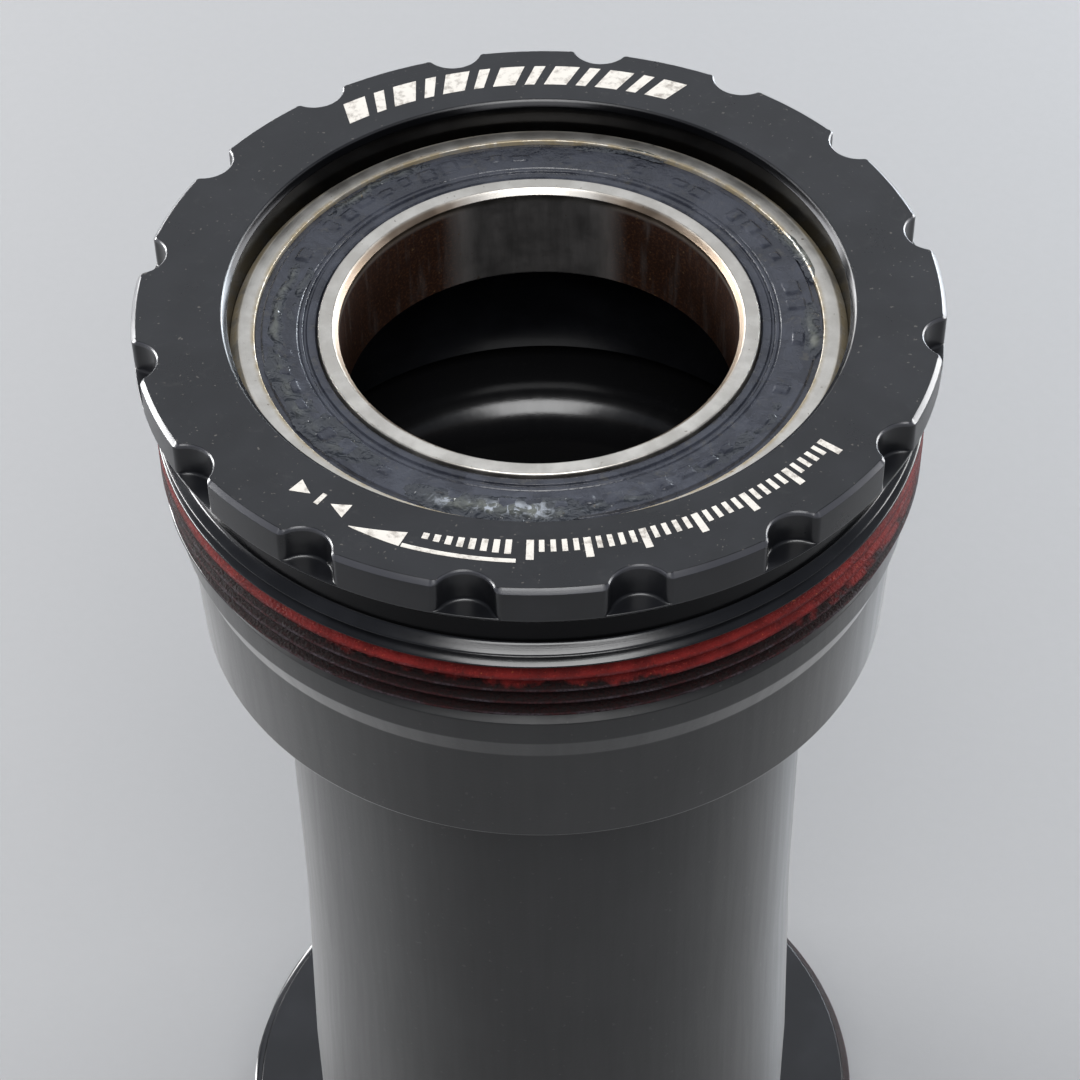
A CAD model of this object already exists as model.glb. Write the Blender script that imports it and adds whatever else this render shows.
"""Looks of a threaded bottom bracket: two cups with sealed bearings, joined by a centre sleeve.

The spindle axis is Z and the left end is up. Outlines are drawn in millimetres, as radius and
height, and become metres when a mesh is made. Everything is drawn at the left end first; the
right end has the same pieces mirrored through the XY plane.
"""
import bmesh
import bpy
import math
import numpy as np
from mathutils import Matrix, Vector, noise


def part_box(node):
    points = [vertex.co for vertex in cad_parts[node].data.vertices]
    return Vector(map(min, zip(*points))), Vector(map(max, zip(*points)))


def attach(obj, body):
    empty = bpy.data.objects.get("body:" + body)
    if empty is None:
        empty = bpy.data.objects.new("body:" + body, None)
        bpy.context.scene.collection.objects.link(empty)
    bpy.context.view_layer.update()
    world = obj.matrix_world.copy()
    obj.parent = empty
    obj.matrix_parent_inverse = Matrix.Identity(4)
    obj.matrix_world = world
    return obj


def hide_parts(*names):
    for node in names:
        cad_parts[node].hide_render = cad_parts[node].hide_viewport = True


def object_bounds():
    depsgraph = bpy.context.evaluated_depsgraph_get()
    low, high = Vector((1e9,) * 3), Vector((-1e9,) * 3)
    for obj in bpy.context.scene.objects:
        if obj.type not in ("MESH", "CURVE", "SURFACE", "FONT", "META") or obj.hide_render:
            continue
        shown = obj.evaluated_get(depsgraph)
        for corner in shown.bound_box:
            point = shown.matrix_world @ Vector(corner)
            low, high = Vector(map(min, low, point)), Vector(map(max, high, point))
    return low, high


MM = 0.001
TURN = 2 * math.pi

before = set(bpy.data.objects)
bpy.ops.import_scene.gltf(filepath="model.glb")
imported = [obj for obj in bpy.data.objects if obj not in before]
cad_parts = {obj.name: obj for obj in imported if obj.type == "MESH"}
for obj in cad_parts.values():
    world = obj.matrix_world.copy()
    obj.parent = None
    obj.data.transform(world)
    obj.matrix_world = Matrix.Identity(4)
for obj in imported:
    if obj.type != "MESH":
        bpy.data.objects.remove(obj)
cad_low, cad_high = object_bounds()


def top_of(node):
    """The highest level of a CAD node, in millimetres."""
    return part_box(node)[1].z / MM


def low_of(node):
    """The lowest level of a CAD node, in millimetres."""
    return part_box(node)[0].z / MM


# Cup flange
FLANGE_RADIUS = 24.15
FLANGE_THICKNESS = 3.0
FLANGE_BEVEL = 0.3
LIP_THICKNESS = 0.75
LIP_EDGE = 0.1
LIP_CHAMFER = 0.5
MOUTH_RADIUS = 18.85
MOUTH_DEPTH = 0.35
NOTCH_COUNT = 16
NOTCH_RADIUS = 1.75
NOTCH_DEPTH = 1.3
NOTCH_CORNER = 0.5
NOTCH_EDGE = 0.1
EDGE = 0.05
FLOOR_ROUND = 0.2
# Across the flange's top edge, as shares of its width: out, and down
EDGE_PROFILE = ((0, 0), (0.1, 0.03), (0.5, 0.44), (0.93, 0.88), (1, 1))
RELIEF_RADIUS = 22.8
RELIEF_LENGTH = 2.3
RELIEF_ROUND = 0.3

# Shell thread
THREAD_RADIUS = 23.45
THREAD_PITCH = 1.0
THREAD_DEPTH = 0.6
THREAD_TURNS = 5.3
THREAD_LEAD = 0.95
END_CHAMFER = 0.1
CONE_LENGTH = 0.375

THREAD_SOFTNESS = 0.03
SEAT_OVERLAP = 3.0

# Bearing and seals
BORE_RADIUS = 12.0
BEARING_RADIUS = 18.5
BORE_CHAMFER = 0.35
RING_CHAMFER = 0.5
BALL_RADIUS = 1.75
RACE_RADIUS = 1.85
INNER_LAND = 14.1
OUTER_LAND = 16.5
LIP_TRACK = 13.25
TRACK_DEPTH = 1.15
SEAL_SEAT = 17.0
SEAL_DEPTH = 0.15
RUBBER_THICKNESS = 0.5
INSERT_THICKNESS = 0.3
LIP_PLAY = 0.05

# Sleeve
BAND_RADIUS = 22.85
BAND_LENGTH = 2.1
STEP_LENGTH = 1.7
BELL_RADIUS = 22.3
RIM_RADIUS = 22.0
BELL_LENGTH = 11.7
BELL_BORE = 20.9
TUBE_RADIUS = 17.35
TUBE_END_RADIUS = 17.9
TUBE_BORE = 15.9
TAPER_LOW = -22.0
THROAT_RADIUS = 13.9
SHOULDER_ROUND = 3.0
SHOULDER_WALL = 1.2
FLARE_TOP = -7.0
FLARE_LOW = -26.0
SLEEVE_EDGE = 0.4

# Spigots
SHOULDER_RADIUS = 17.2
LEFT_SPIGOT_RADIUS = 20.75
RIGHT_SPIGOT_RADIUS = 15.82
RIGHT_SPIGOT_BORE = 13.4
O_RING_SECTION = 1.5
O_RING_OFFSET = 5.0

# Marks on the flange's face: sizes in millimetres, azimuths in degrees about +Z
MARK_HEIGHT = 0.012
HATCH_COUNT = 13
HATCH_AZIMUTH = 93.5
HATCH_STEP = 4.6
HATCH_RADIUS = 21.3
HATCH_WIDTH = 1.5
HATCH_HEIGHT = 1.9
SCALE_COUNT = 31
SCALE_AZIMUTH = -93.0
SCALE_STEP = 1.75
SCALE_RADIUS = 21.0
POINTER_RADIUS = 20.8
POINTER_AZIMUTH = -127.3
ARROW_AZIMUTH = -120.5
ARROW_SPAN = 25.5
ARROW_RADIUS = 21.7
STEP_COUNT = 8

# Worn raised dashes on the seals
DASH_COUNT = 64
DASH_RADIUS = 15.5
DASH_LENGTH = 1.2
DASH_HEIGHT = 0.1

# Smears of grease on the seals: azimuth, half span in degrees, radius, half width, amount
SMEARS = (
    (176, 17, 15.7, 0.35, 0.9), (205, 22, 15.9, 0.6, 0.7), (168, 9, 14.7, 0.25, 0.6),
    (-101, 17, 16.1, 0.7, 1.0), (-78, 9, 16.2, 0.35, 0.6), (20, 9, 16.9, 0.3, 1.0),
    (-6, 8, 16.3, 0.45, 0.9), (128, 14, 16.5, 0.3, 0.7), (70, 10, 16.7, 0.25, 0.5),
    (-45, 16, 15.8, 0.5, 0.35), (-140, 14, 15.2, 0.5, 0.5))

# Dried threadlocker: the azimuth where its coat is widest, how far it reaches from its middle (in
# millimetres: elsewhere and upwards, then downwards at that azimuth), how quickly it widens
# towards there, and how far its middle rises and falls round the thread
COAT_AZIMUTH = math.radians(-20)
COAT_NARROW = 0.75
COAT_WIDE = 2.3
COAT_TURN = 6
COAT_TILT = 0.2

# Camera: degrees and metres; its turns are yaw, pitch and roll away from the target
CAMERA_AZIMUTH = -1.1
CAMERA_ELEVATION = 41.74
CAMERA_DISTANCE = 0.1799
CAMERA_TURNS = (-0.05, -4.22, -0.99)

# Levels, from the CAD frame
FACE_Z = top_of("left_cup")
SEAT_Z = FACE_Z - FLANGE_THICKNESS
LIP_Z = SEAT_Z + LIP_THICKNESS
BEARING_TOP = top_of("left_bearing_outer_ring")
BEARING_LOW = low_of("left_bearing_outer_ring")
BEARING_MID = (BEARING_TOP + BEARING_LOW) / 2
SEAL_TOP = BEARING_TOP - SEAL_DEPTH
PITCH_RADIUS = (BORE_RADIUS + BEARING_RADIUS) / 2
RELIEF_Z = SEAT_Z - RELIEF_LENGTH
CREST_Z = RELIEF_Z - (THREAD_RADIUS - RELIEF_RADIUS)
THREAD_END = CREST_Z - THREAD_TURNS * THREAD_PITCH
THREAD_START = THREAD_END - THREAD_LEAD * THREAD_PITCH
ROOT_RADIUS = THREAD_RADIUS - THREAD_DEPTH
COAT_Z = CREST_Z - 1.85
SLEEVE_TOP = top_of("centre_sleeve")
SLEEVE_END = low_of("centre_sleeve")
BELL_LOW = SLEEVE_TOP - BELL_LENGTH
LEFT_SPIGOT_END = low_of("left_cup")
RIGHT_SPIGOT_END = -top_of("right_cup")
TARGET = Vector((0, 0, BEARING_TOP * MM))


# ---------------------------------------------------------------- meshes

def rounded(outline, steps=3):
    """The outline with every corner turned into a small arc.

    An entry is (radius, height), or (radius, height, size of the arc at that corner). The size
    is EDGE where none is given, and corners that hardly turn stay as they are.
    """
    count = len(outline)
    result = []
    for index, entry in enumerate(outline):
        here = np.array(entry[:2], float)
        before = np.array(outline[index - 1][:2], float) - here
        after = np.array(outline[(index + 1) % count][:2], float) - here
        room = 0.45 * min(np.linalg.norm(before), np.linalg.norm(after))
        before /= np.linalg.norm(before)
        after /= np.linalg.norm(after)
        half = math.acos(max(-1.0, min(1.0, float(before @ after)))) / 2
        wanted = entry[2] if len(entry) > 2 else EDGE
        if half > math.radians(86):
            result.append(here)
            continue
        cut = min(wanted / math.tan(half), room)
        radius = cut * math.tan(half)
        middle = (before + after) / np.linalg.norm(before + after)
        centre = here + middle * math.hypot(radius, cut)
        first = here + before * cut - centre
        last = here + after * cut - centre
        sweep = math.atan2(first[0] * last[1] - first[1] * last[0], first @ last)
        for step in range(steps + 1):
            angle = sweep * step / steps
            turned = (first[0] * math.cos(angle) - first[1] * math.sin(angle),
                      first[0] * math.sin(angle) + first[1] * math.cos(angle))
            result.append(centre + np.array(turned))
    return np.array(result)


def arc(radius, height, size, start, end, steps):
    """Points of an arc about (radius, height), between two angles in degrees."""
    angles = np.radians(np.linspace(start, end, steps + 1))
    return [(radius + size * math.cos(a), height + size * math.sin(a)) for a in angles]


def turned(outline, columns):
    """Grid of points (rows, columns, 3) made by turning an outline about Z."""
    angles = np.linspace(0, TURN, columns, endpoint=False)
    radius = np.asarray(outline)[:, 0][:, None]
    height = np.asarray(outline)[:, 1][:, None]
    return np.stack([
        radius * np.cos(angles), radius * np.sin(angles),
        np.broadcast_to(height, (len(outline), columns))], axis=-1)


def quads(rows, columns, close_rows, close_columns):
    """Faces between the neighbouring points of a grid, as indices of its points."""
    row = np.arange(rows if close_rows else rows - 1)[:, None]
    column = np.arange(columns if close_columns else columns - 1)[None, :]
    next_row = (row + 1) % rows
    next_column = (column + 1) % columns
    corners = [row * columns + column, row * columns + next_column,
               next_row * columns + next_column, next_row * columns + column]
    return np.stack([np.broadcast_to(c, (row.size, column.size)) for c in corners], -1).reshape(-1, 4)


def soft_normals(mesh):
    """Smooth shading in which large faces stay flat and small edge faces carry the turn."""
    mesh.shade_smooth()
    count = len(mesh.vertices)
    normals = np.zeros((count, 3))
    loops = np.empty(len(mesh.loops), np.int64)
    mesh.loops.foreach_get("vertex_index", loops)
    face_normals = np.empty(len(mesh.polygons) * 3)
    mesh.polygons.foreach_get("normal", face_normals)
    areas = np.empty(len(mesh.polygons))
    mesh.polygons.foreach_get("area", areas)
    totals = np.empty(len(mesh.polygons), np.int64)
    mesh.polygons.foreach_get("loop_total", totals)
    weighted = np.repeat(face_normals.reshape(-1, 3) * areas[:, None], totals, axis=0)
    np.add.at(normals, loops, weighted)
    lengths = np.linalg.norm(normals, axis=1)
    lengths[lengths == 0] = 1
    mesh.normals_split_custom_set_from_vertices((normals / lengths[:, None]).tolist())


def piece(name, grids, finish, body, stands_for=(), side="left"):
    """A mesh from grids of points in millimetres, each (points, faces), riding on a body.

    At the right end it is mirrored through the XY plane.
    """
    points, faces, first = [], [], 0
    for grid, grid_faces in grids:
        flat = grid.reshape(-1, 3)
        points.append(flat)
        faces.append(grid_faces + first)
        first += len(flat)
    points = np.concatenate(points) * MM
    faces = np.concatenate(faces)
    if side == "right":
        points = points * (1, 1, -1)
        faces = faces[:, ::-1]
    mesh = bpy.data.meshes.new(name)
    mesh.from_pydata(points.tolist(), [], faces.tolist())
    shape = bmesh.new()
    shape.from_mesh(mesh)
    bmesh.ops.remove_doubles(shape, verts=shape.verts, dist=2e-4 * MM)
    bmesh.ops.dissolve_degenerate(shape, edges=shape.edges, dist=1e-4 * MM)
    loose = [vertex for vertex in shape.verts if not vertex.link_faces]
    bmesh.ops.delete(shape, geom=loose, context="VERTS")
    shape.to_mesh(mesh)
    shape.free()
    soft_normals(mesh)
    made = bpy.data.objects.new(name, mesh)
    bpy.context.scene.collection.objects.link(made)
    mesh.materials.append(finish)
    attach(made, body)
    if stands_for:
        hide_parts(*stands_for)


def lathe_grid(outline, columns):
    """The grid of a closed turned outline, drawn counter-clockwise, with its faces outwards."""
    return turned(outline, columns), quads(len(outline), columns, True, True)


# ---------------------------------------------------------------- finishes

class Finish:
    """A procedural material in the making: its shader, and short names for its nodes."""

    def __init__(self, name, **fixed):
        self.material = bpy.data.materials.new(name)
        self.material.use_nodes = True
        self.tree = self.material.node_tree
        self.shader = self.tree.nodes["Principled BSDF"]
        for socket, value in fixed.items():
            self.shader.inputs[socket.replace("_", " ").title().replace("Ior", "IOR")].default_value = value
        self.place = self.node("ShaderNodeTexCoord").outputs["Object"]
        parts = self.node("ShaderNodeSeparateXYZ")
        self.link(self.place, parts.inputs[0])
        self.x, self.y, self.z = parts.outputs

    def node(self, kind, **settings):
        made = self.tree.nodes.new(kind)
        for key, value in settings.items():
            setattr(made, key, value)
        return made

    def link(self, source, target):
        if hasattr(source, "is_linked"):
            self.tree.links.new(source, target)
        else:
            target.default_value = source

    def math(self, operation, first, second=0.0, third=0.0):
        made = self.node("ShaderNodeMath", operation=operation)
        for socket, value in zip(made.inputs, (first, second, third)):
            self.link(value, socket)
        return made.outputs[0]

    def radius(self):
        """Distance from the spindle axis, in metres."""
        squares = self.math("ADD", self.times(self.x, self.x), self.times(self.y, self.y))
        return self.math("SQRT", squares)

    def azimuth(self):
        """Angle about the spindle axis, in radians."""
        return self.math("ARCTAN2", self.y, self.x)

    def times(self, first, *others):
        """The product of two or more values."""
        for other in others:
            first = self.math("MULTIPLY", first, other)
        return first

    def vector(self, x, y, z):
        made = self.node("ShaderNodeCombineXYZ")
        for socket, value in zip(made.inputs, (x, y, z)):
            self.link(value, socket)
        return made.outputs[0]

    def noise(self, per_mm, detail=3.0, roughness=0.55, place=None, distortion=0.0):
        made = self.node("ShaderNodeTexNoise")
        self.link(self.place if place is None else place, made.inputs["Vector"])
        made.inputs["Scale"].default_value = per_mm / MM
        made.inputs["Detail"].default_value = detail
        made.inputs["Roughness"].default_value = roughness
        made.inputs["Distortion"].default_value = distortion
        return made.outputs["Fac"]

    def cells(self, per_mm):
        made = self.node("ShaderNodeTexVoronoi", feature="F1")
        self.link(self.place, made.inputs["Vector"])
        made.inputs["Scale"].default_value = per_mm / MM
        return made.outputs["Distance"]

    def span(self, value, low, high, to_low=0.0, to_high=1.0, smooth=True):
        """The value between low and high, taken to between to_low and to_high."""
        made = self.node("ShaderNodeMapRange")
        if smooth:
            made.interpolation_type = "SMOOTHSTEP"
        for socket, item in zip(made.inputs, (value, low, high, to_low, to_high)):
            self.link(item, socket)
        return made.outputs[0]

    def rise(self, place, low, high):
        """A smooth rise from 0 at low to 1 at high, both in millimetres; low may be the higher."""
        return self.span(place, low * MM, high * MM)

    def mix(self, amount, first, second):
        """A colour between two colours."""
        made = self.node("ShaderNodeMix", data_type="RGBA")
        self.link(amount, made.inputs[0])
        for value, socket in ((first, made.inputs[6]), (second, made.inputs[7])):
            if isinstance(value, tuple):
                socket.default_value = (*value, 1.0)
            else:
                self.link(value, socket)
        return made.outputs[2]

    def bump(self, height, distance, strength=1.0, under=None):
        """A surface normal raised by a height from 0 to 1, over distance in millimetres."""
        made = self.node("ShaderNodeBump")
        made.inputs["Strength"].default_value = strength
        made.inputs["Distance"].default_value = distance * MM
        self.link(height, made.inputs["Height"])
        if under is not None:
            self.link(under, made.inputs["Normal"])
        return made.outputs[0]

    def done(self, colour=None, roughness=None, normal=None, metallic=None):
        for value, socket in ((colour, "Base Color"), (roughness, "Roughness"),
                              (normal, "Normal"), (metallic, "Metallic")):
            if value is not None:
                self.link(value, self.shader.inputs[socket])
        return self.material

    def lathe_marks(self, per_mm, wander=0.15):
        """Fine rings left by turning: noise that runs along the radius and the height only."""
        along = self.times(self.azimuth(), wander * MM)
        return self.noise(per_mm, 2.0, 0.6, self.vector(self.radius(), along, self.z))


def anodised():
    """Black anodised aluminium: satin on the face, glossier where it was turned, with dust.

    The neck and the wall of the mouth are nearly black and mostly metallic, so that they stay
    dark under these lights.
    """
    f = Finish("anodised_black_finish", specular_ior_level=0.5)
    blotch = f.noise(0.25, 4.0)
    fine = f.noise(7.0, 2.0)
    rings = f.lathe_marks(9.0)
    height = f.math("ABSOLUTE", f.z)
    radius = f.radius()
    face = f.rise(height, FACE_Z - 0.03, FACE_Z - 0.01)
    colour = f.mix(f.span(blotch, 0.35, 0.7), (0.0045, 0.0048, 0.006), (0.0085, 0.009, 0.011))
    smudge = f.span(f.noise(0.9, 5.0, 0.7, distortion=0.8), 0.55, 0.75)
    colour = f.mix(f.times(smudge, face, 0.2), colour, (0.045, 0.044, 0.042))
    specks = f.times(f.span(f.noise(3.6, 1.0), 0.735, 0.76), face)
    colour = f.mix(f.times(specks, 0.55), colour, (0.13, 0.12, 0.105))
    above_lip = f.rise(height, LIP_Z - 0.2, LIP_Z - 0.05)
    outside = f.rise(radius, BEARING_RADIUS + 0.2, BEARING_RADIUS + 0.3)
    satin = f.times(above_lip, outside)
    rough = f.math("ADD", f.span(blotch, 0.3, 0.75, 0.25, 0.33), f.times(fine, 0.06))
    rough = f.times(rough, f.span(satin, 0.0, 1.0, 0.6, 1.0))
    neck_low = CREST_Z + CONE_LENGTH
    above_thread = f.rise(height, neck_low, neck_low + 0.1)
    neck = f.times(above_thread, f.math("SUBTRACT", 1.0, satin))
    under_face = f.rise(height, FACE_Z - 0.06, FACE_Z - 0.12)
    shaded = f.times(neck, under_face, 0.85)
    colour = f.mix(shaded, colour, (0.003, 0.003, 0.0035))
    bevel_low = FACE_Z - FLANGE_BEVEL
    above_wall = f.rise(height, bevel_low, bevel_low + 0.04)
    bevel = f.times(above_wall, f.math("SUBTRACT", 1.0, face))
    bevel = f.times(bevel, f.rise(radius, MOUTH_RADIUS, MOUTH_RADIUS + 2))
    colour = f.mix(bevel, colour, (0.042, 0.043, 0.050))
    normal = f.bump(rings, 0.0022)
    normal = f.bump(fine, 0.0012, under=normal)
    return f.done(colour, rough, normal, shaded)


def moulded():
    """Dark grey moulded nylon with a satin skin."""
    f = Finish("sleeve_plastic_finish", specular_ior_level=0.5, sheen_weight=0.22, sheen_roughness=0.35)
    cloud = f.noise(0.12, 4.0)
    grain = f.noise(5.5, 3.0, 0.6)
    pores = f.cells(4.0)
    streak_place = f.vector(f.times(f.azimuth(), 20 * MM), 0.0, f.times(f.z, 0.06))
    streaks = f.noise(1.2, 4.0, 0.6, streak_place)
    colour = f.mix(f.span(cloud, 0.3, 0.7), (0.0085, 0.0087, 0.0092), (0.0125, 0.0127, 0.0133))
    dust = f.span(f.noise(2.4, 1.0), 0.73, 0.76)
    colour = f.mix(f.times(dust, 0.2), colour, (0.12, 0.12, 0.115))
    rough = f.math("ADD", f.span(streaks, 0.3, 0.7, 0.36, 0.43), f.times(grain, 0.05))
    in_tube = f.rise(f.radius(), TUBE_RADIUS - 0.1, TUBE_RADIUS - 0.3)
    in_bell = f.times(f.rise(f.radius(), BELL_BORE + 0.3, BELL_BORE + 0.2),
                      f.rise(f.z, BELL_LOW + 0.3, BELL_LOW + 0.5))
    inside = f.math("MAXIMUM", in_tube, in_bell)
    colour = f.mix(f.times(inside, 0.8), colour, (0.003, 0.003, 0.0035))
    rough = f.times(rough, f.span(inside, 0.0, 1.0, 1.0, 0.5))
    normal = f.bump(grain, 0.004)
    normal = f.bump(pores, 0.002, 0.6, under=normal)
    normal = f.bump(streaks, 0.0015, under=normal)
    return f.done(colour, rough, normal)


def bearing_steel():
    """Ground bearing steel, with dried grease in its corners and rust low in the bore."""
    f = Finish("bearing_steel_finish", specular_ior_level=0.15)
    rings = f.lathe_marks(11.0)
    blotch = f.noise(0.5, 5.0, 0.6)
    fine = f.noise(6.0, 4.0, 0.65)
    height = f.math("ABSOLUTE", f.z)
    radius = f.radius()
    steel = f.mix(f.span(blotch, 0.35, 0.7), (0.56, 0.53, 0.475), (0.74, 0.71, 0.65))
    edge = f.rise(radius, SEAL_SEAT + 0.35, SEAL_SEAT + 0.05)
    rim = f.rise(radius, BEARING_RADIUS - 0.7, BEARING_RADIUS - 0.35)
    outer = f.rise(radius, SEAL_SEAT - 0.2, SEAL_SEAT)
    dried = f.times(outer, f.math("MAXIMUM", edge, rim),
                    f.span(f.noise(0.8, 5.0, 0.7), 0.36, 0.58, 0.25, 0.85))
    colour = f.mix(dried, steel, (0.30, 0.235, 0.13))
    inside = f.rise(radius, BORE_RADIUS + 0.25, BORE_RADIUS + 0.1)
    chamfer_end = BORE_RADIUS + BORE_CHAMFER
    chamfer = f.rise(radius, chamfer_end + 0.1, chamfer_end - 0.15)
    sideways = f.span(f.math("ABSOLUTE", f.math("COSINE", f.azimuth())), 0.28, 0.5)
    colour = f.mix(f.times(chamfer, 0.8), colour,
                   f.mix(sideways, (0.22, 0.21, 0.20), (0.13, 0.075, 0.035)))
    deep = f.rise(height, BEARING_TOP - 0.45, BEARING_TOP - 1.0)
    streak_place = f.vector(f.times(f.azimuth(), BORE_RADIUS * MM), 0.0, f.times(f.z, 0.15))
    streaks = f.noise(1.1, 5.0, 0.6, streak_place)
    bore = f.mix(f.span(streaks, 0.3, 0.7), (0.17, 0.165, 0.16), (0.25, 0.24, 0.235))
    in_bore = f.times(inside, deep)
    colour = f.mix(in_bore, colour, bore)
    rust = f.times(in_bore, sideways, f.span(streaks, 0.2, 0.5, 0.75, 1.0))
    rusty = f.mix(f.span(fine, 0.45, 0.8), (0.017, 0.0065, 0.0035), (0.07, 0.028, 0.011))
    colour = f.mix(rust, colour, rusty)
    spots = f.times(f.span(f.noise(2.4, 2.0), 0.70, 0.75), 0.6)
    colour = f.mix(spots, colour, (0.11, 0.065, 0.03))
    rough = f.math("ADD", f.span(blotch, 0.3, 0.7, 0.34, 0.44), f.times(rust, 0.25))
    rough = f.math("ADD", rough, f.times(in_bore, 0.18))
    metal = f.span(f.math("ADD", rust, dried), 0.0, 1.0, 1.0, 0.2, smooth=False)
    normal = f.bump(rings, 0.003)
    normal = f.bump(fine, 0.003, under=normal)
    return f.done(colour, rough, normal, metal)


def ball_steel():
    """Polished balls with a film of oil."""
    f = Finish("ball_steel_finish")
    film = f.noise(1.2, 3.0)
    colour = f.mix(film, (0.62, 0.61, 0.59), (0.72, 0.71, 0.68))
    return f.done(colour, f.span(film, 0.3, 0.7, 0.06, 0.16), f.bump(film, 0.004), 1.0)


def cage_nylon():
    """Natural glass-filled nylon of the ball cage."""
    f = Finish("cage_nylon_finish", specular_ior_level=0.45)
    fibres = f.noise(3.5, 4.0, 0.65)
    colour = f.mix(fibres, (0.40, 0.33, 0.21), (0.55, 0.48, 0.34))
    return f.done(colour, f.span(fibres, 0.3, 0.7, 0.42, 0.58), f.bump(fibres, 0.02))


def insert_steel():
    """Pressed steel washer behind a seal."""
    f = Finish("insert_steel_finish")
    rings = f.lathe_marks(6.0)
    blotch = f.noise(0.7, 4.0)
    colour = f.mix(blotch, (0.36, 0.35, 0.33), (0.48, 0.47, 0.45))
    return f.done(colour, f.span(blotch, 0.3, 0.7, 0.34, 0.5), f.bump(rings, 0.006), 1.0)


def o_ring_rubber():
    """Greased black nitrile rubber."""
    f = Finish("o_ring_rubber_finish", specular_ior_level=0.5)
    fine = f.noise(4.0, 4.0, 0.6)
    colour = f.mix(fine, (0.008, 0.008, 0.009), (0.018, 0.018, 0.019))
    return f.done(colour, f.span(fine, 0.3, 0.7, 0.28, 0.45), f.bump(fine, 0.012))


def seal_rubber():
    """Blue-black seal rubber with an oily sheen and trapped dirt."""
    f = Finish("seal_rubber_finish", specular_ior_level=0.5)
    fine = f.noise(5.0, 4.0, 0.6)
    film = f.noise(0.45, 5.0, 0.6, distortion=0.6)
    colour = f.mix(f.span(film, 0.35, 0.65), (0.018, 0.020, 0.028), (0.040, 0.044, 0.058))
    dirt = f.times(f.span(f.noise(1.3, 5.0, 0.7), 0.55, 0.72), 0.5)
    colour = f.mix(dirt, colour, (0.075, 0.07, 0.058))
    pits = f.noise(3.2, 3.0, 0.6)
    rough = f.span(film, 0.35, 0.65, 0.2, 0.36)
    normal = f.bump(film, 0.1)
    normal = f.bump(pits, 0.035, under=normal)
    normal = f.bump(fine, 0.012, under=normal)
    return f.done(colour, rough, normal)


def laser_mark():
    """Laser-etched mark: warm white, matt, slightly worn."""
    f = Finish("laser_mark_finish", specular_ior_level=0.3)
    fine = f.noise(6.0, 3.0, 0.6)
    worn = f.span(f.noise(1.5, 5.0, 0.7), 0.3, 0.52)
    colour = f.mix(worn, (0.33, 0.30, 0.265), (0.66, 0.625, 0.57))
    return f.done(colour, f.span(fine, 0.3, 0.7, 0.55, 0.75), f.bump(fine, 0.006))


def threadlocker():
    """Dried thread-locking compound: red and granular where it is thick, brown where it is thin."""
    f = Finish("threadlocker_finish", specular_ior_level=0.08)
    grain = f.noise(6.5, 4.0, 0.7)
    crumbs = f.cells(5.0)
    cloud = f.noise(0.5, 4.0)
    colour = f.mix(f.span(cloud, 0.35, 0.7), (0.075, 0.0042, 0.0040), (0.145, 0.0090, 0.0080))
    colour = f.mix(f.span(grain, 0.55, 0.72), colour, (0.20, 0.026, 0.020))
    orange = f.span(f.noise(4.2, 2.0, 0.6), 0.69, 0.75)
    colour = f.mix(f.times(orange, 0.7), colour, (0.36, 0.10, 0.035))
    dark = f.span(f.noise(3.1, 3.0, 0.6), 0.40, 0.3)
    colour = f.mix(f.times(dark, 0.7), colour, (0.04, 0.005, 0.004))
    turn = f.math("COSINE", f.math("SUBTRACT", f.azimuth(), COAT_AZIMUTH))
    facing = f.math("POWER", f.math("MULTIPLY_ADD", turn, 0.5, 0.5), COAT_TURN)
    middle = f.math("MULTIPLY_ADD", f.math("COSINE", f.azimuth()), COAT_TILT * MM, COAT_Z * MM)
    above = f.math("SUBTRACT", f.math("ABSOLUTE", f.z), middle)
    lower = f.rise(above, 0.01, -0.01)
    widened = f.times(facing, lower)
    reach = f.math("MULTIPLY_ADD", widened, (COAT_WIDE - COAT_NARROW) * MM, COAT_NARROW * MM)
    ragged = f.times(f.span(f.noise(0.8, 4.0), 0.3, 0.7, -0.2, 0.2), lower)
    away = f.math("ADD", f.math("DIVIDE", f.math("ABSOLUTE", above), reach), ragged)
    thin = f.span(away, 0.85, 1.15)
    crest = f.rise(f.radius(), THREAD_RADIUS - 0.13, THREAD_RADIUS - 0.01)
    residue = f.mix(f.span(grain, 0.4, 0.7), (0.0025, 0.0004, 0.0005), (0.013, 0.0018, 0.0020))
    worn = f.mix(f.span(f.noise(0.7, 3.0), 0.42, 0.6), (0.034, 0.0085, 0.0095), (0.042, 0.034, 0.041))
    worn = f.mix(f.span(grain, 0.35, 0.65), (0.010, 0.005, 0.006), worn)
    residue = f.mix(crest, residue, worn)
    colour = f.mix(f.times(crest, 0.45), colour, worn)
    colour = f.mix(thin, colour, residue)
    normal = f.bump(grain, 0.05)
    normal = f.bump(crumbs, 0.03, 0.7, under=normal)
    return f.done(colour, f.span(grain, 0.3, 0.7, 0.42, 0.62), normal)


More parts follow.
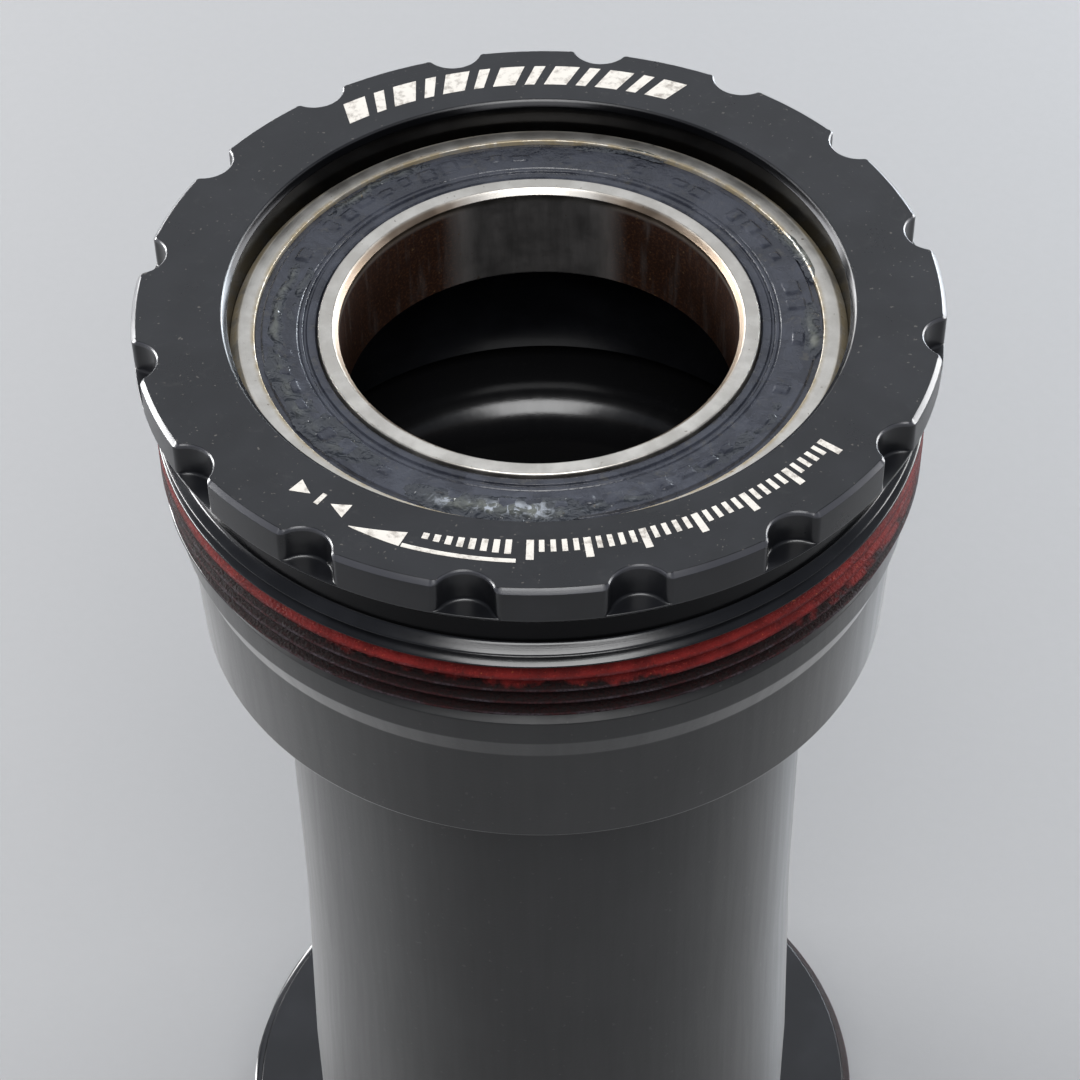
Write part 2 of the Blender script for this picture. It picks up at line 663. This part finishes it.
def grease():
    """Smeared bearing grease: wet, dark where it is thin and olive where it is thick."""
    f = Finish("grease_finish", specular_ior_level=0.6)
    streak = f.noise(0.8, 5.0, 0.65, distortion=1.0)
    lumps = f.noise(1.0, 3.0, 0.5, distortion=0.6)
    proud = f.rise(f.math("ABSOLUTE", f.z), SEAL_TOP + 0.02, SEAL_TOP + 0.13)
    pale = f.mix(f.span(streak, 0.3, 0.7), (0.050, 0.056, 0.056), (0.125, 0.13, 0.11))
    colour = f.mix(proud, (0.022, 0.025, 0.031), pale)
    front = f.rise(f.y, -11, -14)
    patches = f.span(f.noise(1.1, 5.0, 0.6, distortion=1.4), 0.5, 0.62)
    churned = f.times(proud, front, patches)
    colour = f.mix(churned, colour, (0.34, 0.365, 0.41))
    amber = f.times(f.span(lumps, 0.66, 0.72), proud, 0.8)
    colour = f.mix(amber, colour, (0.30, 0.17, 0.045))
    return f.done(colour, f.span(streak, 0.3, 0.7, 0.06, 0.16), f.bump(lumps, 0.3))


def floor_finish():
    """Plain pale studio paper."""
    f = Finish("floor_finish", specular_ior_level=0.2)
    cloud = f.noise(0.004, 3.0)
    fine = f.noise(1.0, 3.0)
    colour = f.mix(cloud, (0.24, 0.24, 0.243), (0.255, 0.255, 0.258))
    return f.done(colour, f.span(fine, 0.3, 0.7, 0.75, 0.85), f.bump(fine, 0.01))


FINISHES = {
    "anodised_black": anodised(),
    "sleeve_plastic": moulded(),
    "bearing_steel": bearing_steel(),
    "ball_steel": ball_steel(),
    "cage_nylon": cage_nylon(),
    "insert_steel": insert_steel(),
    "o_ring_rubber": o_ring_rubber(),
    "seal_rubber": seal_rubber(),
    "laser_mark": laser_mark(),
    "threadlocker": threadlocker(),
    "grease": grease(),
}


# ---------------------------------------------------------------- cup

def unit(vectors):
    return vectors / np.linalg.norm(vectors, axis=-1, keepdims=True)


def along_arc(centre, radius, start, end, count):
    """Plan points of an arc and the directions from its centre, without the last point."""
    angles = np.linspace(start, end, count, endpoint=False)
    ways = np.stack([np.cos(angles), np.sin(angles)], -1)
    return np.asarray(centre) + radius * ways, ways


def rim_plan():
    """The flange's rim in plan: points, directions out of the metal, and edge rounding.

    Half a notch and half a tooth are drawn from the notch's middle on, then mirrored and
    repeated round the rim.
    """
    tooth_middle = math.pi / NOTCH_COUNT
    notch = np.array([FLANGE_RADIUS - NOTCH_DEPTH + NOTCH_RADIUS, 0.0])
    inner = FLANGE_RADIUS - NOTCH_CORNER
    reach = NOTCH_RADIUS + NOTCH_CORNER
    x = (inner ** 2 + notch[0] ** 2 - reach ** 2) / (2 * notch[0])
    corner = np.array([x, math.sqrt(inner ** 2 - x ** 2)])
    from_notch = corner - notch
    wall_end = math.atan2(from_notch[1], from_notch[0])
    rim_start = math.atan2(corner[1], corner[0])
    wall, wall_out = along_arc(notch, NOTCH_RADIUS, math.pi, wall_end, 12)
    fillet, fillet_out = along_arc(corner, NOTCH_CORNER, wall_end - math.pi, rim_start, 8)
    rim, rim_out = along_arc((0, 0), FLANGE_RADIUS, rim_start, tooth_middle, 10)
    points = np.concatenate([wall, fillet, rim])
    outwards = np.concatenate([-wall_out, fillet_out, rim_out])
    edges = np.concatenate([
        np.full(len(wall), NOTCH_EDGE), np.linspace(NOTCH_EDGE, FLANGE_BEVEL, len(fillet)),
        np.full(len(rim), FLANGE_BEVEL)])
    end = np.array([[math.cos(tooth_middle), math.sin(tooth_middle)]])
    flip = np.array([1, -1])
    points = np.concatenate([(points * flip)[:0:-1], points, end * FLANGE_RADIUS])
    outwards = np.concatenate([(outwards * flip)[:0:-1], outwards, end])
    edges = np.concatenate([edges[:0:-1], edges, [FLANGE_BEVEL]])
    all_points, all_out = [], []
    for index in range(NOTCH_COUNT):
        angle = TURN * (index + 0.5) / NOTCH_COUNT
        spin = np.array([[math.cos(angle), math.sin(angle)], [-math.sin(angle), math.cos(angle)]])
        all_points.append(points @ spin)
        all_out.append(outwards @ spin)
    return np.concatenate(all_points), np.concatenate(all_out), np.tile(edges, NOTCH_COUNT)


def flange_grid():
    """The toothed flange, from the bearing's mouth over the rim to the neck under it."""
    points, outwards, edges = rim_plan()
    inside = points - outwards * edges[:, None]
    ring_radius = RELIEF_RADIUS - 2 * EDGE - NOTCH_EDGE

    def circle(directions, radius):
        return unit(directions) * np.broadcast_to(radius, edges.shape)[:, None]

    def level(flat, height):
        return np.column_stack([flat, np.broadcast_to(height, edges.shape)])

    rows = [level(circle(inside, radius), height) for radius, height in [
        (BEARING_RADIUS, FACE_Z - SEAT_OVERLAP), (BEARING_RADIUS, FACE_Z - MOUTH_DEPTH - 2 * EDGE),
        (BEARING_RADIUS + EDGE / 4, FACE_Z - MOUTH_DEPTH), (MOUTH_RADIUS - EDGE, FACE_Z - EDGE),
        (MOUTH_RADIUS, FACE_Z - EDGE / 4), (MOUTH_RADIUS + EDGE, FACE_Z),
        ((MOUTH_RADIUS + RELIEF_RADIUS) / 2, FACE_Z), (ring_radius, FACE_Z)]]
    ring = circle(inside, ring_radius)
    rows.append(level(inside + unit(ring - inside) * EDGE / 2, FACE_Z))
    for out, drop in EDGE_PROFILE:
        rows.append(level(inside + outwards * (edges * out)[:, None], FACE_Z - edges * drop))
    room = FLANGE_RADIUS - np.linalg.norm(points, axis=1)
    hollow = np.minimum(FLOOR_ROUND, room / 2)
    for angle in np.radians([0, 30, 60, 90]):
        flat = points + outwards * (hollow * (1 - math.cos(angle)))[:, None]
        rows.append(level(flat, LIP_Z + hollow * (1 - math.sin(angle))))
    edge = np.minimum(EDGE, room)
    slope = LIP_CHAMFER / (LIP_THICKNESS - LIP_EDGE)
    lip = [
        (FLANGE_RADIUS - edge, LIP_Z), (FLANGE_RADIUS - edge / 3, LIP_Z - edge / 3),
        (FLANGE_RADIUS, LIP_Z - edge), (FLANGE_RADIUS, LIP_Z - LIP_EDGE + EDGE / 4),
        (FLANGE_RADIUS - EDGE * slope, LIP_Z - LIP_EDGE - EDGE),
        (FLANGE_RADIUS - LIP_CHAMFER + EDGE * slope, SEAT_Z + EDGE),
        (FLANGE_RADIUS - LIP_CHAMFER, SEAT_Z + EDGE / 4), (FLANGE_RADIUS - LIP_CHAMFER - EDGE, SEAT_Z)]
    lip += arc(RELIEF_RADIUS + RELIEF_ROUND, SEAT_Z - RELIEF_ROUND, RELIEF_ROUND, 90, 180, 5)
    lip += [(RELIEF_RADIUS, (SEAT_Z + RELIEF_Z) / 2), (RELIEF_RADIUS, RELIEF_Z)]
    rows += [level(circle(points, radius), height) for radius, height in lip]
    grid = np.stack(rows)
    return grid, quads(len(rows), grid.shape[1], False, True)


def soft_above(value, size):
    """The value where it is above zero, and nearly zero below, with a smooth turn."""
    return size * np.logaddexp(0, value / size)


def thread_radius(height, azimuth):
    """The shell thread's radius: rounded crests and roots, run out at both ends."""
    turns = (height - THREAD_START) / THREAD_PITCH - azimuth / TURN
    offset = np.abs((turns + 0.5) % 1.0 - 0.5) * THREAD_PITCH
    rise = soft_above((offset - THREAD_PITCH / 8) * math.sqrt(3), THREAD_SOFTNESS)
    rise = THREAD_DEPTH - soft_above(THREAD_DEPTH - rise, THREAD_SOFTNESS)
    cone = (CREST_Z + CONE_LENGTH - height) * (THREAD_RADIUS - RELIEF_RADIUS) / CONE_LENGTH
    radius = np.minimum(ROOT_RADIUS + rise, RELIEF_RADIUS + cone)
    radius = np.minimum(radius, ROOT_RADIUS + (height - THREAD_END) * THREAD_DEPTH / END_CHAMFER)
    return np.maximum(radius, RELIEF_RADIUS)


def helix_levels(azimuth, low, high, samples):
    """Heights that follow the thread round, held between two levels: (rows, columns)."""
    first = math.floor((low - THREAD_START) / THREAD_PITCH) - 1
    count = (math.ceil(high - low) / THREAD_PITCH + 3) * samples
    steps = first + np.arange(int(count) + 1)[:, None] / samples
    heights = THREAD_START + (steps + azimuth / TURN) * THREAD_PITCH
    return np.clip(heights, low, high)[::-1]


def thread_grid(columns=480, samples=16):
    """The threaded wall, as rows that follow the helix."""
    azimuth = np.linspace(0, TURN, columns + 1)[None, :]
    heights = helix_levels(azimuth, THREAD_END, RELIEF_Z + 0.02, samples)
    radius = thread_radius(heights, azimuth)
    grid = np.stack([radius * np.cos(azimuth), radius * np.sin(azimuth), heights], -1)
    return grid, quads(grid.shape[0], grid.shape[1], False, False)


def spigot_outline(radius, end, bore):
    """Outline from the thread's end down the spigot and up its bore to the bearing's seat."""
    groove_radius = radius + 0.1 - O_RING_SECTION - LIP_PLAY
    half_groove = O_RING_SECTION / 2 + 0.1
    middle = THREAD_END - O_RING_OFFSET
    chamfer = 0.4
    return [
        (ROOT_RADIUS, THREAD_END), (radius, THREAD_END, 0.15), (radius, middle + half_groove),
        (groove_radius, middle + half_groove, 0.15), (groove_radius, middle - half_groove, 0.15),
        (radius, middle - half_groove), (radius, end + chamfer, 0.1), (radius - chamfer, end, 0.1),
        ] + bore + [(BEARING_RADIUS, BEARING_LOW, 0.02), (BEARING_RADIUS, FACE_Z - SEAT_OVERLAP)]


def cup(side):
    """One cup: flange, neck, thread, spigot and bearing seat in one mesh."""
    if side == "left":
        outline = spigot_outline(LEFT_SPIGOT_RADIUS, LEFT_SPIGOT_END, [
            (SHOULDER_RADIUS + 1.2, LEFT_SPIGOT_END, 0.15), (SHOULDER_RADIUS, BEARING_LOW - 1.6, 0.3),
            (SHOULDER_RADIUS, BEARING_LOW, 0.1)])
    else:
        web = BEARING_LOW - 0.7
        outline = spigot_outline(RIGHT_SPIGOT_RADIUS, RIGHT_SPIGOT_END, [
            (RIGHT_SPIGOT_BORE, RIGHT_SPIGOT_END, 0.15), (RIGHT_SPIGOT_BORE, web, 0.2),
            (SHOULDER_RADIUS, web, 0.1), (SHOULDER_RADIUS, BEARING_LOW, 0.1)])
    corners = rounded(outline)
    inner = turned(corners, 240), quads(len(corners), 240, False, True)
    piece(side + "_cup_body", [flange_grid(), thread_grid(), inner], FINISHES["anodised_black"],
          side + "_cup", [side + "_cup"], side)


# ---------------------------------------------------------------- threadlocker

def wobble(x, y, z, scale, octaves=3):
    """Fractal noise at points in millimetres, as an array of the same shape."""
    flat = np.stack([np.ravel(x), np.ravel(y), np.ravel(z)], -1) * scale
    values = [noise.fractal(Vector(place), 0.9, 2.0, octaves) for place in flat]
    return np.array(values).reshape(np.shape(x))


def trimmed(grid, faces, above):
    """Only the faces of a grid with at least one corner above the surface under it."""
    keep = above.ravel()[faces].max(axis=1) > 0
    return grid, faces[keep]


def threadlocker_coat(side, columns=900, samples=20):
    """A crusty coat of dried threadlocker, wider downwards on one side, with a residue below."""
    azimuth = np.linspace(0, TURN, columns + 1)[None, :]
    heights = helix_levels(azimuth, THREAD_END + 0.2, RELIEF_Z - 0.1, samples)
    radius = thread_radius(heights, azimuth)
    azimuth = np.broadcast_to(azimuth, heights.shape)
    x = radius * np.cos(azimuth)
    y = radius * np.sin(azimuth)
    facing = (1 + np.cos(azimuth - COAT_AZIMUTH)) / 2
    above = heights - COAT_Z - COAT_TILT * np.cos(azimuth)
    reach = COAT_NARROW + (COAT_WIDE - COAT_NARROW) * facing ** COAT_TURN * (above < 0)
    distance = np.abs(above) / reach
    patch = wobble(x, y, heights, 0.5)
    crust = wobble(x, y, heights, 4.5)
    depth = (radius - ROOT_RADIUS) / THREAD_DEPTH
    cover = np.clip((1.15 - distance) * 3, 0, 1)
    thickness = 0.125 * cover - 0.055 + 0.02 * patch - 0.055 * depth ** 2 + 0.02 * crust
    residue = np.where(heights < COAT_Z, 0.02, -0.06) + 0.012 * patch + 0.008 * crust
    thickness = np.clip(np.maximum(thickness, residue), -0.03, 0.075)
    radius = radius + thickness
    grid = np.stack([radius * np.cos(azimuth), radius * np.sin(azimuth), heights], -1)
    faces = quads(grid.shape[0], grid.shape[1], False, False)
    piece(side + "_threadlocker", [trimmed(grid, faces, thickness)], FINISHES["threadlocker"],
          side + "_cup", (), side)


# ---------------------------------------------------------------- laser marks

def bar(radius, azimuth, width, height, slant=0.0):
    """Plan corners, as (radius, azimuth in radians), of a bar on the flange's face.

    Its middle, size and lean are given in millimetres, and its azimuth in degrees.
    """
    half_angle = width / radius / 2
    middle = math.radians(azimuth)
    lean = slant / radius
    inner = radius - height / 2
    outer = radius + height / 2
    return [(inner, middle - half_angle - lean), (inner, middle + half_angle - lean),
            (outer, middle + half_angle + lean), (outer, middle - half_angle + lean)]


def mark_grid(corners, steps=12):
    """A thin raised plate between four (radius, azimuth) corners, bent with the face."""
    (r0, a0), (r1, a1), (r2, a2), (r3, a3) = corners
    share = np.linspace(0, 1, steps + 1)
    inner = np.stack([r0 + (r1 - r0) * share, a0 + (a1 - a0) * share], -1)
    outer = np.stack([r3 + (r2 - r3) * share, a3 + (a2 - a3) * share], -1)
    top = FACE_Z + MARK_HEIGHT
    low = FACE_Z - MARK_HEIGHT
    rows = []
    for line, height in ((inner, low), (inner, top), (outer, top), (outer, low)):
        rows.append(np.column_stack([line[:, 0] * np.cos(line[:, 1]), line[:, 0] * np.sin(line[:, 1]),
                                     np.full(steps + 1, height)]))
    grid = np.stack(rows)
    faces = quads(4, steps + 1, False, False)
    return grid, faces[:, ::-1]


def marks(side):
    """Generic marks on a flange's face: a hatched band, a turn arrow, a scale and pointers."""
    plates = []
    for index in range(HATCH_COUNT):
        azimuth = HATCH_AZIMUTH + (index - (HATCH_COUNT - 1) / 2) * HATCH_STEP
        width = HATCH_WIDTH if index % 2 == 0 else HATCH_WIDTH * 0.45
        plates.append(bar(HATCH_RADIUS, azimuth, width, HATCH_HEIGHT, -0.35))
    for index in range(SCALE_COUNT):
        azimuth = SCALE_AZIMUTH + index * SCALE_STEP
        if index % 5 == 0:
            plates.append(bar(SCALE_RADIUS, azimuth, 0.42, 1.5))
        else:
            plates.append(bar(SCALE_RADIUS - 0.3, azimuth, 0.3, 0.9))
    for way in (1, -1):
        middle = math.radians(POINTER_AZIMUTH - way * 3.5)
        reach = way * 0.55 / POINTER_RADIUS
        tip = (POINTER_RADIUS, middle + reach)
        plates.append([(POINTER_RADIUS - 0.55, middle - reach), tip, tip,
                       (POINTER_RADIUS + 0.55, middle - reach)])
    plates.append(bar(POINTER_RADIUS, POINTER_AZIMUTH, 0.3, 0.9))
    head = math.radians(ARROW_AZIMUTH)
    tail = math.radians(ARROW_AZIMUTH + ARROW_SPAN)
    neck = head + (tail - head) * 0.34
    plates.append([(ARROW_RADIUS, head), (ARROW_RADIUS - 0.85, neck),
                   (ARROW_RADIUS + 0.28, neck * 0.97 + head * 0.03), (ARROW_RADIUS + 0.05, head)])
    plates.append([(ARROW_RADIUS, neck), (ARROW_RADIUS, tail), (ARROW_RADIUS + 0.28, tail),
                   (ARROW_RADIUS + 0.28, neck)])
    for index in range(STEP_COUNT):
        share = 0.45 + 0.5 * index / (STEP_COUNT - 1)
        azimuth = ARROW_AZIMUTH + ARROW_SPAN * share
        plates.append(bar(ARROW_RADIUS - 0.9, azimuth, 0.36, 0.45 + 0.09 * index))
    piece(side + "_marks", [mark_grid(corners) for corners in plates], FINISHES["laser_mark"],
          side + "_cup", (), side)


# ---------------------------------------------------------------- bearing

def mirrored_in_bearing(outline):
    """The outline at the bearing's inner side, still drawn counter-clockwise."""
    return [(entry[0], 2 * BEARING_MID - entry[1], *entry[2:]) for entry in outline][::-1]


def race_points(land, side):
    """Points of a ball race across a ring's land, from low to high."""
    centre = PITCH_RADIUS + side * (BALL_RADIUS + 0.04 - RACE_RADIUS)
    half = math.degrees(math.acos(side * (land - centre) / RACE_RADIUS))
    middle = 0 if side > 0 else 180
    return arc(centre, BEARING_MID, RACE_RADIUS, middle - half, middle + half, 16)


def inner_ring(side):
    low, high = BEARING_LOW, BEARING_TOP
    outline = [
        (BORE_RADIUS, low + BORE_CHAMFER), (BORE_RADIUS + BORE_CHAMFER, low),
        (LIP_TRACK, low, 0.12), (LIP_TRACK, low + TRACK_DEPTH), (INNER_LAND, low + TRACK_DEPTH)]
    outline += race_points(INNER_LAND, -1)[::-1]
    outline += [
        (INNER_LAND, high - TRACK_DEPTH), (LIP_TRACK, high - TRACK_DEPTH), (LIP_TRACK, high, 0.12),
        (BORE_RADIUS + BORE_CHAMFER, high, 0.08), (BORE_RADIUS, high - BORE_CHAMFER, 0.08)]
    piece(side + "_inner_ring", [lathe_grid(rounded(outline), 320)], FINISHES["bearing_steel"],
          side + "_spindle_ring", [side + "_bearing_inner_ring"], side)


def outer_ring(side):
    low, high = BEARING_LOW, BEARING_TOP
    depth = SEAL_DEPTH + RUBBER_THICKNESS + INSERT_THICKNESS
    outline = [
        (SEAL_SEAT, low + depth), (SEAL_SEAT, low), (BEARING_RADIUS - RING_CHAMFER, low, 0.1),
        (BEARING_RADIUS, low + RING_CHAMFER, 0.1), (BEARING_RADIUS, high - RING_CHAMFER, 0.15),
        (BEARING_RADIUS - RING_CHAMFER, high, 0.15), (SEAL_SEAT, high, 0.08), (SEAL_SEAT, high - depth),
        (OUTER_LAND, high - depth)]
    outline += race_points(OUTER_LAND, 1)[::-1]
    outline += [(OUTER_LAND, low + depth)]
    piece(side + "_outer_ring", [lathe_grid(rounded(outline), 320)], FINISHES["bearing_steel"],
          side + "_cup", [side + "_bearing_outer_ring"], side)


def seal_outline():
    """The rubber face of a seal, at the bearing's outer side."""
    lip = LIP_TRACK + LIP_PLAY
    top = SEAL_TOP
    low = top - RUBBER_THICKNESS
    groove = 0.15
    flat = [(radius, top) for radius in np.linspace(SEAL_SEAT - 0.55, lip + 1.35, 36)]
    return [
        (lip, low - 0.1), (lip + 0.35, low - 0.15), (lip + 0.7, low), (SEAL_SEAT, low),
        (SEAL_SEAT, top - groove), (SEAL_SEAT - 0.36, top - groove, 0.06), (SEAL_SEAT - 0.46, top, 0.06)
        ] + flat + [
        (lip + 1.2, top, 0.04), (lip + 1.12, top - groove / 2, 0.04), (lip + 1.04, top, 0.04),
        (lip + 0.86, top, 0.05), (lip + 0.78, top - groove, 0.04), (lip + 0.66, top - groove, 0.04),
        (lip + 0.58, top, 0.05), (lip + 0.25, top, 0.08), (lip + 0.1, top - 0.05, 0.05), (lip, top - 0.35)]


def embossed(grid):
    """Worn raised dashes, evenly spaced round the rubber, and a slightly uneven skin."""
    x, y, z = grid[..., 0], grid[..., 1], grid[..., 2]
    radius = np.hypot(x, y)
    azimuth = np.arctan2(y, x)
    face = (z > SEAL_TOP - 1e-6) & (radius > LIP_TRACK + 1.4) & (radius < SEAL_SEAT - 0.5)
    slots = azimuth / TURN * DASH_COUNT
    across = np.abs(slots % 1.0 - 0.5)
    shown = np.sin(np.floor(slots) * 2.4) + 0.9 * np.sin(np.floor(slots) * 0.37) > -0.35
    length = 0.33 + 0.08 * np.sin(np.floor(slots) * 1.7)
    along = np.abs(radius - DASH_RADIUS - 0.12 * np.sin(np.floor(slots) * 3.1))
    half = DASH_LENGTH / 2 * (0.75 + 0.25 * np.cos(np.floor(slots) * 5.3))
    dash = np.clip((length - across) / 0.1, 0, 1) * np.clip((half - along) / 0.12, 0, 1) * shown
    ruffle = wobble(x, y, z, 0.8)
    worn = np.clip(0.75 + 0.8 * wobble(x, y, z, 0.35, 2), 0.15, 1)
    lift = np.where(face, DASH_HEIGHT * dash * worn + 0.02 * ruffle, 0)
    grid = grid.copy()
    grid[..., 2] = np.minimum(z + lift, BEARING_TOP - 0.02)
    return grid


def seals(side):
    """The rubber faces of the seals: the outer one is embossed, the inner one plain."""
    outline = rounded(seal_outline())
    outer = embossed(turned(outline, 720))
    piece(side + "_outer_seal", [(outer, quads(len(outline), 720, True, True))], FINISHES["seal_rubber"],
          side + "_cup", [side + "_bearing_outer_seal"], side)
    plain = [entry for entry in seal_outline() if len(entry) == 3 or entry[1] < SEAL_TOP]
    inner = rounded(mirrored_in_bearing(plain))
    piece(side + "_inner_seal", [lathe_grid(inner, 240)], FINISHES["seal_rubber"],
          side + "_cup", [side + "_bearing_inner_seal"], side)


def grease_smears(side, columns=1080, rows=64):
    """Glossy smears of grease drawn out along the seal, thickest beside the outer ring."""
    azimuth = np.linspace(0, TURN, columns, endpoint=False)[None, :]
    radius = np.linspace(LIP_TRACK + 0.9, SEAL_SEAT + 0.3, rows)[:, None]
    x, y = radius * np.cos(azimuth), radius * np.sin(azimuth)
    ground = np.where(radius > SEAL_SEAT, BEARING_TOP, SEAL_TOP) + 0 * azimuth
    swirl = wobble(x * 0.6, y * 0.6, 0 * x, 0.5)
    total = np.zeros_like(x)
    for middle, span, at, width, amount in SMEARS:
        away = np.abs((azimuth - math.radians(middle) + math.pi) % TURN - math.pi) / math.radians(span)
        across = (radius + 0.45 * swirl - at) / width
        total = np.maximum(total, amount * np.exp(-away ** 4 - across ** 2))
    ripple = wobble(x, y, 0 * x + 5, 0.9)
    thickness = 0.13 * total * (0.8 + 0.55 * ripple) - 0.018
    grid = np.stack([x, y, np.minimum(ground + thickness, BEARING_TOP + 0.05)], -1)
    faces = quads(rows, columns, False, True)[:, ::-1]
    piece(side + "_grease", [trimmed(grid, faces, thickness)], FINISHES["grease"],
          side + "_cup", (), side)


# ---------------------------------------------------------------- sleeve

def sleeve():
    """The moulded tube between the cups, with a stepped bell at its left end."""
    shoulder = BELL_LOW + SHOULDER_WALL
    outline = [
        (TUBE_BORE, TAPER_LOW, 2.0), (TUBE_BORE, SLEEVE_END + SLEEVE_EDGE),
        (TUBE_BORE + SLEEVE_EDGE, SLEEVE_END), (TUBE_END_RADIUS - SLEEVE_EDGE, SLEEVE_END),
        (TUBE_END_RADIUS, SLEEVE_END + SLEEVE_EDGE, 0.2),
        (TUBE_END_RADIUS, FLARE_LOW, 4.0), (TUBE_RADIUS, FLARE_TOP, 4.0), (TUBE_RADIUS, BELL_LOW, 0.12),
        (RIM_RADIUS, BELL_LOW, 0.25), (BELL_RADIUS, SLEEVE_TOP - BAND_LENGTH - STEP_LENGTH, 0.6),
        (BAND_RADIUS, SLEEVE_TOP - BAND_LENGTH, 0.5), (BAND_RADIUS, SLEEVE_TOP - SLEEVE_EDGE, 0.12),
        (BAND_RADIUS - SLEEVE_EDGE, SLEEVE_TOP, 0.12), (BELL_BORE + SLEEVE_EDGE, SLEEVE_TOP, 0.1),
        (BELL_BORE, SLEEVE_TOP - SLEEVE_EDGE, 0.1), (BELL_BORE, shoulder, 0.02)]
    outline += arc(THROAT_RADIUS + SHOULDER_ROUND, shoulder - SHOULDER_ROUND, SHOULDER_ROUND, 90, 180, 12)
    piece("sleeve_body", [lathe_grid(rounded(outline), 480)], FINISHES["sleeve_plastic"],
          "sleeve", ["centre_sleeve"])


# ---------------------------------------------------------------- the object

for side in ("left", "right"):
    cup(side)
    threadlocker_coat(side)
    marks(side)
    inner_ring(side)
    outer_ring(side)
    seals(side)
    grease_smears(side)
    for node, finish in (("o_ring", "o_ring_rubber"), ("bearing_balls", "ball_steel"),
                         ("bearing_cage", "cage_nylon"), ("bearing_outer_seal_insert", "insert_steel"),
                         ("bearing_inner_seal_insert", "insert_steel")):
        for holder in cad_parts[side + "_" + node].material_slots:
            holder.material = FINISHES[finish]
sleeve()


# ---------------------------------------------------------------- studio

def around(azimuth, elevation, distance):
    """A place round the left bearing's face: azimuth from the camera's side, in degrees."""
    a, e = math.radians(azimuth), math.radians(elevation)
    return TARGET + distance * Vector((math.sin(a) * math.cos(e), -math.cos(a) * math.cos(e), math.sin(e)))


def softbox(name, azimuth, elevation, distance, width, height, power, colour=(1, 1, 1)):
    """A rectangular area light that looks at the object."""
    light = bpy.data.lights.new(name, "AREA")
    light.shape = "RECTANGLE"
    light.size = width
    light.size_y = height
    light.energy = power
    light.color = colour
    holder = bpy.data.objects.new(name, light)
    holder.location = around(azimuth, elevation, distance)
    holder.rotation_mode = "QUATERNION"
    holder.rotation_quaternion = (TARGET - holder.location).to_track_quat("-Z", "Y")
    bpy.context.scene.collection.objects.link(holder)


def studio():
    """Pale floor, dim surroundings and soft lights."""
    floor_mesh = bpy.data.meshes.new("floor")
    reach = 3.0
    level = cad_low.z
    floor_mesh.from_pydata([(-reach, -reach, level), (reach, -reach, level), (reach, reach, level),
                            (-reach, reach, level)], [], [(0, 1, 2, 3)])
    floor_mesh.materials.append(floor_finish())
    floor = bpy.data.objects.new("floor", floor_mesh)
    bpy.context.scene.collection.objects.link(floor)
    world = bpy.data.worlds.new("studio")
    bpy.context.scene.world = world
    world.use_nodes = True
    back = world.node_tree.nodes["Background"]
    back.inputs["Color"].default_value = (0.80, 0.86, 1.0, 1)
    back.inputs["Strength"].default_value = 0.2
    softbox("front", 0, 58, 0.6, 0.34, 0.39, 3.7)
    softbox("left_side", -112, 6, 0.5, 0.3, 0.18, 4.8)
    softbox("right_side", 112, 6, 0.5, 0.3, 0.18, 2.7)
    softbox("left_rear", -146, 5, 0.5, 0.14, 0.18, 1.6)
    softbox("right_rear", 142, 5, 0.5, 0.2, 0.18, 3.3, (0.86, 0.93, 1.0))
    softbox("rear", 180, 42, 0.8, 0.9, 0.6, 1.3, (0.92, 0.95, 1.0))


def camera():
    """The camera at the object's front, above it, looking down into the bearing."""
    data = bpy.data.cameras.new("camera")
    data.lens = 100.0
    data.sensor_width = 36.0
    data.clip_start = 0.005
    data.clip_end = 20.0
    holder = bpy.data.objects.new("camera", data)
    bpy.context.scene.collection.objects.link(holder)
    place = around(CAMERA_AZIMUTH, CAMERA_ELEVATION, CAMERA_DISTANCE)
    forward = (TARGET - place).normalized()
    right = forward.cross(Vector((0, 0, 1))).normalized()
    up = right.cross(forward)
    yaw, pitch, roll = (math.radians(angle) for angle in CAMERA_TURNS)
    forward = (forward * math.cos(yaw) * math.cos(pitch) + right * math.sin(yaw) * math.cos(pitch)
               + up * math.sin(pitch))
    right = forward.cross(up).normalized()
    up = right.cross(forward)
    right, up = (right * math.cos(roll) + up * math.sin(roll), up * math.cos(roll) - right * math.sin(roll))
    holder.matrix_world = Matrix.Translation(place) @ Matrix((right, up, -forward)).transposed().to_4x4()
    bpy.context.scene.camera = holder


studio()
camera()
bpy.context.scene.view_settings.view_transform = "Standard"
